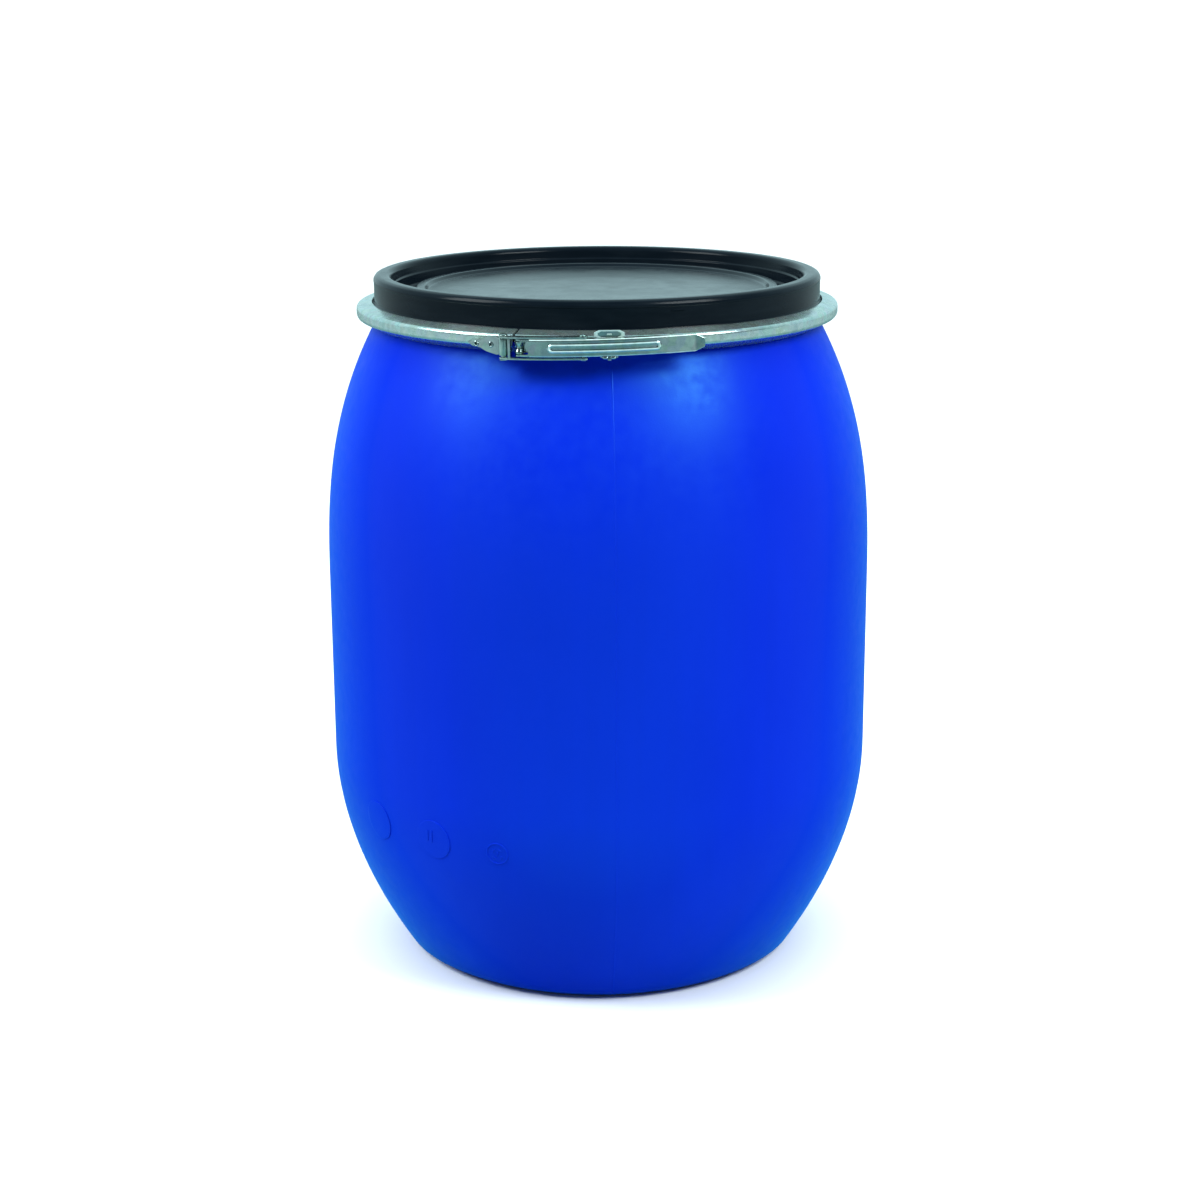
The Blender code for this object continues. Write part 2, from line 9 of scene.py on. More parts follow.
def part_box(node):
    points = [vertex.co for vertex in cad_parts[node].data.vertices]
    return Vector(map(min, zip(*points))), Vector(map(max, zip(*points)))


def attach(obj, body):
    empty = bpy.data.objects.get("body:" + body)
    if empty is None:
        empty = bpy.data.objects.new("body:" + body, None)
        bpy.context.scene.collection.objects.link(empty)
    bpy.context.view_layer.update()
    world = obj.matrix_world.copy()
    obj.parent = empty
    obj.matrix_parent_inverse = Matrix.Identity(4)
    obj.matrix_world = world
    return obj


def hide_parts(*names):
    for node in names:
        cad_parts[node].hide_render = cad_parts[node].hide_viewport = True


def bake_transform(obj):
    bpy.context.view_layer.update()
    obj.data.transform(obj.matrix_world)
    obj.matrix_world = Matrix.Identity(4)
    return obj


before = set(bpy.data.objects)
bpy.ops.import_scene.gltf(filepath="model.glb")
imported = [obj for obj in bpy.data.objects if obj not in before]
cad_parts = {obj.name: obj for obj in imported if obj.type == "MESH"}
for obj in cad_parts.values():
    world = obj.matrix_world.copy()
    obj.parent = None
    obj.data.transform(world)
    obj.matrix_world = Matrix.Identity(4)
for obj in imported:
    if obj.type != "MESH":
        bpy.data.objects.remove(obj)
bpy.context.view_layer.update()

# Lengths are in millimetres and azimuths in degrees round the drum, 0 at the front (-Y),
# positive towards +X. MM turns a length into the scene's metres.
MM = 0.001


# ---------------------------------------------------------------- sizes read from the frame
def low(node):
    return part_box(node)[0] / MM


def high(node):
    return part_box(node)[1] / MM


BODY_RADIUS = high("drum_body").x
NECK_TOP_Z = high("drum_body").z
LID_TOP_Z = high("lid").z
RING_RADIUS = high("clamp_ring_back").y

# ---------------------------------------------------------------- the part's own dimensions
WALL = 4.0
HEEL_TOP_Z, WAIST_LOW_Z = 3.9, 154.4
WAIST_HIGH_Z, SHOULDER_TOP_Z = 282.2, 475.9
HEEL_SHARE, HEEL_POWER = 0.2588, 1.92
SHOULDER_SHARE, SHOULDER_POWER = 0.2075, 2.665
FLANGE_RADIUS, FLANGE_TOP_Z, FLANGE_ROOT_Z = 171.6, 479.0, 471.6
NECK_OUTER_RADIUS, NECK_INNER_RADIUS = 157.9, 153.1
PARTING_AZIMUTH, PARTING_HALF_WIDTH, PARTING_HEIGHT = 3.3, 0.55, 0.16
LARGE_STAMP_RADIUS, SMALL_STAMP_RADIUS = 14.5, 8.2
SECOND_STAMP = (-36.0, 128.5)   # azimuth and height of the stamp with two strokes
THIRD_STAMP = (-21.0, 127.0)    # azimuth and height of the ring with ticks
SKIRT_RADIUS = 161.5
SHEET = 1.2
RING_GAP_AZIMUTH, RING_END_GAP = -18.5, 0.6
RING_BACK_AZIMUTH = RING_GAP_AZIMUTH + 180.0
FLEX_ANGLES = (30.0, 80.0, 130.0)   # flex lines, degrees round from the middle of the back
CLASP_MID_Z = 477.2
PIVOT_RADIUS = 177.7
LINK_PIVOT_AZIMUTH, LEVER_PIVOT_AZIMUTH = -20.32, -16.7
LINK_END_AZIMUTH, LINK_END_RADIUS = -2.9, 179.4
PIN_RADIUS, PIN_HEAD_RADIUS, PIN_HEAD_HEIGHT = 1.9, 3.0, 1.3
PLATE_RADIUS = 175.7            # outer face of the plates that lie on the ring
HINGE_RIVETS, BRACKET_RIVETS, CATCH_RIVET = (-27.2, -23.6), (-12.2, -7.6), 2.6   # azimuths
CATCH_HOOK_Z, CATCH_HOOK_RADIUS = 472.0, 181.2
KNUCKLE_RADIUS, KNUCKLE_LOW_Z, KNUCKLE_HIGH_Z = 3.2, 470.9, 482.1
SPOOL_LOW_Z, SPOOL_HIGH_Z = 472.5, 481.1
LEVER_RADIUS, LEVER_INNER_EDGE = 183.0, 177.4
LEVER_LOW_Z, LEVER_HIGH_Z = 471.4, 483.0
LEVER_START, BLADE_START, LEVER_END = -16.1, 13.6, 21.6
LEVER_EAR_RADIUS = 3.1          # round end of the lever's flanges about its pin
BEAD = (-9.9, 12.9, 2.05)       # the lever's pressed bead: azimuth of its ends, half its height
BEAD_WIDTH, BEAD_HEIGHT = 1.2, 0.95
LINK_TOP_Z, LINK_BOTTOM_Z, LINK_SHEET = 484.7, 470.6, 1.4
LINK_EAR_RADIUS = 3.2
RIVET_Z = 479.5
CLASP_RISE, RISE_AZIMUTH = 1.35, -10.0   # tilt of the lever and link on the ring, and its centre

# The photo's camera: where it stands in metres, its tilt and roll in degrees, its lens on 36 mm.
CAMERA_PLACE = (0.001, -1.702, 0.717)
CAMERA_DOWN, CAMERA_ROLL, CAMERA_LENS = 15.08, -0.3, 70.3


# ---------------------------------------------------------------- shape helpers
def around(radius, azimuth, z):
    """A point in metres from its radius, azimuth and height."""
    turn = math.radians(azimuth)
    return Vector((radius * math.sin(turn), -radius * math.cos(turn), z)) * MM


def rounded(points, radius, steps=4, closed=False):
    """The outline with each corner replaced by an arc that starts at most radius from it."""
    points = [np.array(p, float) for p in points]
    count = len(points)
    out = []
    for i, corner in enumerate(points):
        if not closed and i in (0, count - 1):
            out.append(corner)
            continue
        before, after = points[i - 1], points[(i + 1) % count]
        a, b = before - corner, after - corner
        reach = min(radius, np.linalg.norm(a) * 0.45, np.linalg.norm(b) * 0.45)
        a = corner + a / np.linalg.norm(a) * reach
        b = corner + b / np.linalg.norm(b) * reach
        for t in np.linspace(0, 1, steps + 1):
            out.append((1 - t) ** 2 * a + 2 * t * (1 - t) * corner + t * t * b)
    return out


def sheet_outline(path, thickness):
    """Closed outline of a sheet whose outer face follows path, walked clockwise."""
    path = [np.array(p, float) for p in path]
    inner = []
    for i, p in enumerate(path):
        a = p - path[i - 1] if i else path[1] - p
        b = path[i + 1] - p if i < len(path) - 1 else a
        a, b = a / np.linalg.norm(a), b / np.linalg.norm(b)
        along = a + b
        along = along / np.linalg.norm(along)
        normal = np.array((along[1], -along[0]))
        widen = 1 / max(0.5, abs(normal @ np.array((a[1], -a[0]))))
        inner.append(p + normal * thickness * widen)
    return path + inner[::-1]


def new_object(name, mesh, finish, sharp=32):
    made = bpy.data.objects.new(name, mesh)
    bpy.context.scene.collection.objects.link(made)
    mesh.shade_smooth()
    mesh.set_sharp_from_angle(angle=math.radians(sharp))
    mesh.materials.append(finish)
    return made


def from_shape(name, shape, finish, sharp=32):
    bmesh.ops.recalc_face_normals(shape, faces=shape.faces)
    mesh = bpy.data.meshes.new(name)
    shape.to_mesh(mesh)
    shape.free()
    return new_object(name, mesh, finish, sharp)


def skin(name, rows, finish, close_rows=False, close_columns=False, caps=False, sharp=32):
    """A surface through rows of points, closed round or capped where asked."""
    shape = bmesh.new()
    lines = [[shape.verts.new(p) for p in row] for row in rows]
    pairs = list(zip(lines, lines[1:])) + ([(lines[-1], lines[0])] if close_rows else [])
    for first, second in pairs:
        quads = list(zip(first, first[1:], second[1:], second))
        if close_columns:
            quads.append((first[-1], first[0], second[0], second[-1]))
        for corners in quads:
            shape.faces.new(corners)
    if caps:
        shape.faces.new(lines[0])
        shape.faces.new(lines[-1])
    bmesh.ops.remove_doubles(shape, verts=shape.verts, dist=1e-7)
    return from_shape(name, shape, finish, sharp)


def turned(name, profile, finish, steps=192, sharp=32):
    """A full turn of an outline of (radius, height) about the drum's axis."""
    rows = [[around(r, 360.0 * i / steps, z) for r, z in profile] for i in range(steps)]
    closed = np.linalg.norm(np.array(profile[0]) - profile[-1]) > 1e-9 and profile[0][0] > 0
    return skin(name, rows, finish, close_rows=True, close_columns=closed, sharp=sharp)


def swept(name, section, start, end, step, finish, sharp=32):
    """A closed section carried round the drum. section(azimuth) gives (radius, height) points."""
    count = max(2, math.ceil((end - start) / step))
    places = [start + (end - start) * i / count for i in range(count + 1)]
    rows = [[around(r, a, z) for r, z in section(a)] for a in places]
    return skin(name, rows, finish, close_columns=True, caps=True, sharp=sharp)


def pin(name, profile, frame_matrix, finish, steps=32):
    """A small turned piece about its own axis, from an outline that starts and ends on it."""
    rows = []
    for i in range(steps):
        turn = math.tau * i / steps
        rows.append([frame_matrix @ (Vector((r * math.cos(turn), r * math.sin(turn), z)) * MM)
                     for r, z in profile])
    closed = profile[0][0] > 0
    return skin(name, rows, finish, close_rows=True, close_columns=closed)


def upright(radius, azimuth, z=0.0):
    """The frame of a piece that stands at that place with its own axis upright."""
    return Matrix.Translation(around(radius, azimuth, z)) @ Matrix.Rotation(
        math.radians(azimuth), 4, "Z")


def outward(azimuth, z):
    """The frame of a piece whose own axis points outwards from the drum's axis."""
    facing = Matrix.Rotation(math.radians(90.0), 4, "X")
    return Matrix.Translation((0.0, 0.0, z * MM)) @ Matrix.Rotation(
        math.radians(azimuth), 4, "Z") @ facing


def flat_mesh(outline, holes, thickness, edge):
    """A flat plate with rounded edges, in a plane, from -thickness to 0 along Z."""
    curve = bpy.data.curves.new("outline", "CURVE")
    curve.dimensions = "2D"
    curve.fill_mode = "BOTH"
    curve.extrude = (thickness / 2 - edge) * MM
    curve.bevel_depth = edge * MM
    curve.bevel_resolution = 2
    curve.offset = -edge * MM
    for points in (outline, *holes):
        line = curve.splines.new("POLY")
        line.points.add(len(points) - 1)
        for point, (x, y) in zip(line.points, points):
            point.co = (x * MM, y * MM, 0.0, 1.0)
        line.use_cyclic_u = True
    carrier = bpy.data.objects.new("outline", curve)
    bpy.context.scene.collection.objects.link(carrier)
    mesh = bpy.data.meshes.new_from_object(carrier)
    bpy.data.objects.remove(carrier)
    bpy.data.curves.remove(curve)
    shape = bmesh.new()
    shape.from_mesh(mesh)
    bpy.data.meshes.remove(mesh)
    bmesh.ops.remove_doubles(shape, verts=shape.verts, dist=1e-7)
    bmesh.ops.translate(shape, verts=shape.verts, vec=(0, 0, -thickness / 2 * MM))
    return shape


def sliced(shape, step):
    """Cuts the shape across its X at even steps, so that it can be bent smoothly."""
    xs = [v.co.x for v in shape.verts]
    place = min(xs) + step * MM
    while place < max(xs):
        everything = shape.verts[:] + shape.edges[:] + shape.faces[:]
        bmesh.ops.bisect_plane(shape, geom=everything, plane_co=(place, 0, 0),
                               plane_no=(1, 0, 0), dist=1e-7)
        place += step * MM
    return shape


def disc(centre, radius, sides=24):
    return [(centre[0] + radius * math.cos(math.tau * i / sides),
             centre[1] + radius * math.sin(math.tau * i / sides)) for i in range(sides)]


def ring_plate(name, outline, holes, radius, thickness, finish, edge=0.25, rise=None):
    """A plate that lies round the drum. Its outline is in (azimuth, height); radius is its outer
    face, and rise(azimuth, height) moves that face outwards."""
    arc = math.radians(1.0) * radius
    shape = sliced(flat_mesh([(a * arc, z) for a, z in outline],
                             [[(a * arc, z) for a, z in hole] for hole in holes],
                             thickness, edge), 1.2)
    for v in shape.verts:
        azimuth, z, depth = v.co.x / MM / arc, v.co.y / MM, v.co.z / MM
        lift = rise(azimuth, z) if rise else 0.0
        v.co = around(radius + depth + lift, azimuth, z)
    return from_shape(name, shape, finish, 28)


def level_plate(name, outline, holes, top, thickness, finish, edge=0.25):
    """A level plate with its top face at that height. Its outline is in (azimuth, radius)."""
    arc = math.radians(1.0) * PIVOT_RADIUS
    shape = sliced(flat_mesh([(a * arc, r) for a, r in outline],
                             [[(a * arc, r) for a, r in hole] for hole in holes],
                             thickness, edge), 1.2)
    for v in shape.verts:
        azimuth, radius, depth = v.co.x / MM / arc, v.co.y / MM, v.co.z / MM
        v.co = around(radius, azimuth, top + depth)
    return from_shape(name, shape, finish, 28)


def hole_at(azimuth, centre, radius, arc_radius, sides=20):
    """A round hole in the outline units of ring_plate and level_plate."""
    arc = math.radians(1.0) * arc_radius
    return [(x / arc, y) for x, y in disc((azimuth * arc, centre), radius, sides)]


def arc_about(azimuth, centre, radius, start, end):
    """An arc in the outline units of level_plate, from start to end degrees."""
    arc = math.radians(1.0) * PIVOT_RADIUS
    return [(azimuth + radius * math.cos(math.radians(t)) / arc,
             centre + radius * math.sin(math.radians(t))) for t in range(start, end + 1, 15)]


def leaned(piece):
    """Tilts a piece of the clasp with the lever and the link, which rise towards +X."""
    centre = around(PIVOT_RADIUS, RISE_AZIMUTH, CLASP_MID_Z)
    facing = around(1.0, RISE_AZIMUTH, 0.0).normalized()
    turn = Matrix.Rotation(math.radians(CLASP_RISE), 4, facing)
    piece.data.transform(Matrix.Translation(centre) @ turn @ Matrix.Translation(-centre))
    return piece


def joined(*pieces):
    """One object from several, keeping the first one's name."""
    with bpy.context.temp_override(active_object=pieces[0], object=pieces[0],
                                   selected_editable_objects=list(pieces),
                                   selected_objects=list(pieces)):
        bpy.ops.object.join()
    return pieces[0]


# ---------------------------------------------------------------- materials
class Recipe:
    """The nodes of a material or of the world, with the few helpers that this scene uses."""

    def __init__(self, tree, coordinates="Object"):
        self.nodes, self.links = tree.nodes, tree.links
        self.place = self.nodes.new("ShaderNodeTexCoord").outputs[coordinates]

    def ramp(self, value, *stops):
        """Colours or greys at places along a value."""
        made = self.nodes.new("ShaderNodeValToRGB")
        stops = [(at, (c, c, c) if isinstance(c, float) else c) for at, c in stops]
        elements = made.color_ramp.elements
        while len(elements) < len(stops):
            elements.new(0.5)
        for element, (at, colour) in zip(elements, stops):
            element.position = at
            element.color = (*colour, 1.0)
        self.links.new(value, made.inputs["Fac"])
        return made.outputs["Color"]

    def blend(self, share, first, second, kind="MIX"):
        made = self.nodes.new("ShaderNodeMix")
        made.data_type = "RGBA"
        made.blend_type = kind
        for socket, value in ((made.inputs["Factor"], share), (made.inputs[6], first),
                              (made.inputs[7], second)):
            if isinstance(value, bpy.types.NodeSocket):
                self.links.new(value, socket)
            elif isinstance(value, float):
                socket.default_value = value
            else:
                socket.default_value = (*value, 1.0)
        return made.outputs[2]

    def along(self, axis):
        """The place's coordinate along X, Y or Z."""
        made = self.nodes.new("ShaderNodeSeparateXYZ")
        self.links.new(self.place, made.inputs["Vector"])
        return made.outputs[axis]

    def from_axis(self):
        """The place's distance in metres from the drum's axis."""
        flat = self.nodes.new("ShaderNodeVectorMath")
        flat.operation = "MULTIPLY"
        flat.inputs[1].default_value = (1.0, 1.0, 0.0)
        reach = self.nodes.new("ShaderNodeVectorMath")
        reach.operation = "LENGTH"
        self.links.new(self.place, flat.inputs[0])
        self.links.new(flat.outputs["Vector"], reach.inputs[0])
        return reach.outputs["Value"]

    def absolute(self, value):
        made = self.nodes.new("ShaderNodeMath")
        made.operation = "ABSOLUTE"
        self.links.new(value, made.inputs[0])
        return made.outputs["Value"]

    def share(self, value, start, end):
        """How far the value has come from start to end, from 0 to 1."""
        made = self.nodes.new("ShaderNodeMapRange")
        made.inputs["From Min"].default_value = start
        made.inputs["From Max"].default_value = end
        self.links.new(value, made.inputs["Value"])
        return made.outputs["Result"]

    def seen_or_lit(self, seen, lit):
        """The colour that the camera sees, and the colour that reaches everything else."""
        rays = self.nodes.new("ShaderNodeLightPath")
        return self.blend(rays.outputs["Is Camera Ray"], lit, seen)


class Finish(Recipe):
    """A Principled material."""

    def __init__(self, name, colour, roughness, metallic=0.0):
        self.material = bpy.data.materials.new(name)
        self.material.use_nodes = True
        super().__init__(self.material.node_tree)
        self.shader = self.nodes["Principled BSDF"]
        self.height = None
        self.give("Base Color", (*colour, 1.0))
        self.give("Roughness", roughness)
        self.give("Metallic", metallic)

    def give(self, socket, value):
        self.shader.inputs[socket].default_value = value

    def to(self, socket, value):
        self.links.new(value, self.shader.inputs[socket])

    def shine(self, usual, varied):
        """Specular level that varies over the surface, and the plain level where that is lost."""
        self.give("Specular IOR Level", usual)
        self.to("Specular IOR Level", varied)

    def noise(self, scale, stretch=(1, 1, 1), detail=3.0):
        where = self.nodes.new("ShaderNodeMapping")
        where.inputs["Scale"].default_value = stretch
        self.links.new(self.place, where.inputs["Vector"])
        made = self.nodes.new("ShaderNodeTexNoise")
        made.inputs["Scale"].default_value = scale
        made.inputs["Detail"].default_value = detail
        self.links.new(where.outputs["Vector"], made.inputs["Vector"])
        return made.outputs["Fac"]

    def facing(self):
        """0 where the surface faces the eye, towards 1 at its outline."""
        made = self.nodes.new("ShaderNodeLayerWeight")
        made.inputs["Blend"].default_value = 0.5
        return made.outputs["Facing"]

    def cells(self, scale):
        made = self.nodes.new("ShaderNodeTexVoronoi")
        made.inputs["Scale"].default_value = scale
        self.links.new(self.place, made.inputs["Vector"])
        return made.outputs["Color"]

    def bump(self, value, depth, strength=1.0):
        """Adds a relief of that depth in millimetres on top of those added before."""
        made = self.nodes.new("ShaderNodeBump")
        made.inputs["Distance"].default_value = depth * MM
        made.inputs["Strength"].default_value = strength
        self.links.new(value, made.inputs["Height"])
        if self.height:
            self.links.new(self.height, made.inputs["Normal"])
        self.height = made.outputs["Normal"]
        self.links.new(self.height, self.shader.inputs["Normal"])


def blue_hdpe():
    """Blow-moulded blue polyethylene: a fine blasted grain, flow streaks and cloudy tone."""
    f = Finish("blue_hdpe", (0.0006, 0.013, 0.63), 0.42)
    cloud = f.noise(6.0, (1, 1, 0.6), 4.0)
    streak = f.noise(55.0, (1, 1, 0.04), 3.0)
    tone = f.ramp(cloud, (0.35, (0.0004, 0.011, 0.60)), (0.65, (0.0008, 0.016, 0.67)))
    f.to("Base Color", f.blend(f.ramp(streak, (0.35, 0.0), (0.75, 0.35)), tone,
                               (0.0005, 0.013, 0.57)))
    fine = f.noise(900.0, (1, 1, 1), 2.0)
    f.to("Roughness", f.ramp(f.noise(120.0), (0.3, 0.36), (0.7, 0.46)))
    f.bump(fine, 0.10, 0.5)
    f.bump(streak, 0.10, 0.35)
    f.shine(0.2, f.ramp(f.facing(), (0.0, 0.62), (0.22, 0.22), (0.5, 0.02)))
    f.give("Specular Tint", (0.15, 0.80, 1.0, 1.0))
    f.give("Sheen Weight", 0.36)
    f.give("Sheen Roughness", 0.45)
    f.give("Sheen Tint", (0.04, 0.50, 1.0, 1.0))
    return f.material


def black_hdpe():
    """Injection-moulded black polyethylene: faint turned lines and scuffs, glossiest on its disc."""
    f = Finish("black_hdpe", (0.004, 0.007, 0.011), 0.2)
    scuff = f.noise(30.0, (1, 1, 6), 5.0)
    f.to("Base Color", f.ramp(scuff, (0.4, (0.003, 0.006, 0.010)), (0.75, (0.006, 0.010, 0.015))))
    f.to("Roughness", f.ramp(f.noise(70.0, (1, 1, 8), 4.0), (0.35, 0.16), (0.7, 0.21)))
    f.bump(f.noise(9.0, (0.6, 0.6, 60.0), 4.0), 0.10, 0.3)
    f.bump(f.noise(7.0, (1, 1, 1), 2.0), 0.15, 0.04)
    f.shine(0.2, f.ramp(f.from_axis(), (0.02, 0.15), (0.075, 0.28), (0.126, 0.22), (0.136, 0.07)))
    return f.material


def seal_rubber():
    """Foamed rubber of the lid's seal."""
    f = Finish("seal_foam", (0.06, 0.06, 0.06), 0.8)
    grain = f.noise(1400.0)
    f.to("Base Color", f.ramp(grain, (0.3, (0.04, 0.04, 0.04)), (0.7, (0.09, 0.09, 0.09))))
    f.bump(grain, 0.15, 0.7)
    return f.material


def galvanised(name, light, metal, rough):
    """Zinc coating: greenish grey metal with soft spangle, duller patches and slight unevenness."""
    f = Finish(name, (0.55, 0.66, 0.63), 0.34, metal)
    spangle = f.cells(170.0)
    tone = f.ramp(f.noise(260.0, (1, 1, 1), 3.0),
                  (0.3, tuple(c * light for c in (0.38, 0.50, 0.485))),
                  (0.7, tuple(c * light for c in (0.53, 0.65, 0.635))))
    f.to("Base Color", f.blend(0.12, tone, spangle, "SOFT_LIGHT"))
    f.to("Roughness", f.ramp(f.noise(90.0, (1, 1, 3), 3.0), (0.3, rough), (0.75, rough + 0.12)))
    f.bump(f.noise(70.0, (1, 1, 1), 2.0), 0.05, 0.25)
    return f.material


# ---------------------------------------------------------------- drum body
def body_radius(z):
    """Outer radius of the bowed wall at a height."""
    if z < WAIST_LOW_Z:
        share = (WAIST_LOW_Z - z) / (WAIST_LOW_Z - HEEL_TOP_Z)
        return BODY_RADIUS * (1 - HEEL_SHARE * share ** HEEL_POWER)
    if z > WAIST_HIGH_Z:
        share = (z - WAIST_HIGH_Z) / (SHOULDER_TOP_Z - WAIST_HIGH_Z)
        return BODY_RADIUS * (1 - SHOULDER_SHARE * share ** SHOULDER_POWER)
    return BODY_RADIUS


def wall_normal(z):
    """Outward direction of the wall at a height, as (radial, upward)."""
    slope = body_radius(z + 0.5) - body_radius(z - 0.5)
    length = math.hypot(1.0, slope)
    return 1.0 / length, -slope / length


def on_wall(azimuth, z, proud):
    """A point on the outer wall, lifted off it by proud."""
    outwards, upwards = wall_normal(z)
    return around(body_radius(z) + outwards * proud, azimuth, z + upwards * proud)


def drum_body(finish):
    def wall(inset, count):
        heights = np.linspace(FLANGE_ROOT_Z, HEEL_TOP_Z + 2.0, count)
        return [(body_radius(z) - inset, z) for z in heights]

    inner = [(0.0, 11.0), (60.0, 10.6), (104.0, 9.4), (108.5, 7.4), (113.0, 5.4), (130.0, 5.2),
             (140.0, 7.2)]
    inner = rounded(inner, 6.0, 3) + wall(WALL, 60)[1:-2][::-1]
    neck = rounded([(NECK_INNER_RADIUS, 474.0), (NECK_INNER_RADIUS, NECK_TOP_Z),
                    (NECK_OUTER_RADIUS, NECK_TOP_Z), (NECK_OUTER_RADIUS, FLANGE_TOP_Z),
                    (FLANGE_RADIUS, FLANGE_TOP_Z), (FLANGE_RADIUS, 477.6),
                    (170.6, 476.4), (body_radius(FLANGE_ROOT_Z), FLANGE_ROOT_Z)], 1.3, 4)
    foot = rounded([(body_radius(5.9), 5.9), (141.5, 0.9), (130.0, 0.0), (112.0, 0.0),
                    (105.0, 4.2), (60.0, 5.6), (0.0, 6.0)], 3.0, 4)
    profile = inner + neck + wall(0.0, 110)[1:] + foot[1:]
    return turned("drum_shell", profile, finish, 160)


def wall_ribbon(name, azimuth, heights, half_width, proud, finish):
    """A fine raised upright line on the wall, rounded across."""
    rows = []
    for z in heights:
        step = math.degrees(half_width / body_radius(z))
        across = [(-1.0, -0.15), (-0.6, 0.55), (0.0, 1.0), (0.6, 0.55), (1.0, -0.15)]
        rows.append([on_wall(azimuth + step * u, z, proud * h) for u, h in across])
    return skin(name, rows, finish, sharp=80)


def parting_lines(finish):
    """The mould's parting line, down the front and the back of the wall."""
    heights = np.linspace(470.0, 6.0, 90)
    return [wall_ribbon(f"parting_line_{side}", azimuth, heights, PARTING_HALF_WIDTH,
                        PARTING_HEIGHT, finish)
            for side, azimuth in (("front", PARTING_AZIMUTH), ("back", PARTING_AZIMUTH + 180.0))]


def wall_stamp(name, azimuth, z, outline, height, finish, holes=()):
    """A shape raised off the wall, with its outline in millimetres round its centre."""
    shape = sliced(flat_mesh(outline, holes, height + 0.6, 0.22), 1.5)
    arc = math.radians(1.0) * body_radius(z)
    for v in shape.verts:
        x, y, depth = (c / MM for c in v.co)
        v.co = on_wall(azimuth + x / arc, z + y, height + depth)
    return from_shape(name, shape, finish, 40)


def bar(x, y, length, width, lean=0.0):
    """Outline of a short rounded bar with its centre at x, y, leaning from upright."""
    c, s = math.cos(math.radians(lean)), math.sin(math.radians(lean))
    half = length / 2 - width / 2
    points = [(width / 2 * math.cos(math.radians(t)), half + width / 2 * math.sin(math.radians(t)))
              for t in range(0, 181, 30)]
    points += [(-px, -py) for px, py in points]
    return [(x + px * c + py * s, y - px * s + py * c) for px, py in points]


def mould_stamps(finish):
    """Three round mould marks low on the left of the front."""
    first = wall_stamp("mould_stamp_1", -53.0, 128.0, disc((0, 0), LARGE_STAMP_RADIUS, 64), 0.5,
                       finish)
    second = wall_stamp("mould_stamp_2", *SECOND_STAMP, disc((0, 0), LARGE_STAMP_RADIUS, 64), 0.5,
                        finish)
    strokes = [wall_stamp(f"mould_stroke_{i}", *SECOND_STAMP, bar(x, 2.5, length, 1.3, 6.0), 0.9,
                          finish) for i, (x, length) in enumerate(((-4.6, 8.5), (-1.0, 9.5)))]
    rim = wall_stamp("mould_stamp_3", *THIRD_STAMP, disc((0, 0), SMALL_STAMP_RADIUS, 48), 0.35,
                     finish, [disc((0, 0), SMALL_STAMP_RADIUS - 1.0, 48)])
    places = ((-2.6, 2.2, 35.0), (2.2, 2.8, -50.0), (0.2, -0.2, 20.0), (-2.4, -2.8, -60.0),
              (2.8, -2.6, 30.0))
    ticks = [wall_stamp(f"mould_tick_{i}", *THIRD_STAMP, bar(x, y, 2.8, 0.9, lean), 0.35, finish)
             for i, (x, y, lean) in enumerate(places)]
    return [first, joined(second, *strokes), joined(rim, *ticks)]


# ---------------------------------------------------------------- lid
def lid(finish):
    outer = [(0.0, 493.9), (60.0, 493.8), (122.3, 493.5), (123.4, 494.6), (124.6, 496.0),
             (130.4, 496.0), (131.3, 494.9), (132.0, 489.6), (133.4, 488.5), (144.4, 488.5),
             (146.3, 489.6), (147.0, 496.8), (148.0, 497.4), (148.8, 503.2), (150.0, 504.9),
             (152.0, LID_TOP_Z), (157.4, LID_TOP_Z), (160.2, 504.8), (SKIRT_RADIUS, 502.4),
             (SKIRT_RADIUS, 500.9), (SKIRT_RADIUS - 0.25, 500.6), (SKIRT_RADIUS - 0.25, 486.9),
             (162.6, 485.1), (170.9, 482.7), (171.5, 481.9), (171.5, 479.5)]
    under = [(158.7, 479.5), (158.7, 502.4), (152.0, 502.4), (151.4, 487.4), (149.6, 485.5),
             (132.0, 485.5), (129.0, 487.1), (128.3, 493.0), (126.4, 493.0), (123.8, 490.7),
             (0.0, 490.7)]
    profile = rounded(outer, 1.1, 4) + rounded(under, 0.8, 3)
    return turned("lid_shell", profile, finish, 256, 40)


def lid_tick(finish):
    """Small raised bar on the lid's skirt."""
    outline = [(17.8, 497.8), (21.0, 497.8), (21.0, 498.8), (17.8, 498.8)]
    return ring_plate("lid_tick", outline, [], SKIRT_RADIUS + 0.25, 1.0, finish, 0.3)


def gasket(finish):
    a, b = low("lid_gasket").z, high("lid_gasket").z
    section = rounded([(152.5, a), (158.2, a), (158.2, b), (152.5, b)], 1.2, 4, closed=True)
    return turned("seal_ring", section, finish, 160)


# ---------------------------------------------------------------- clamp ring
RING_PATH = rounded([(163.0, 486.7), (166.5, 485.8), (173.2, 484.2), (RING_RADIUS, 482.6),
                     (RING_RADIUS, 477.6), (173.2, 475.9), (166.5, 472.8), (162.9, 470.9)],
                    1.5, 4)
RING_OUTLINE = rounded(sheet_outline(RING_PATH, SHEET), 0.35, 2, closed=True)


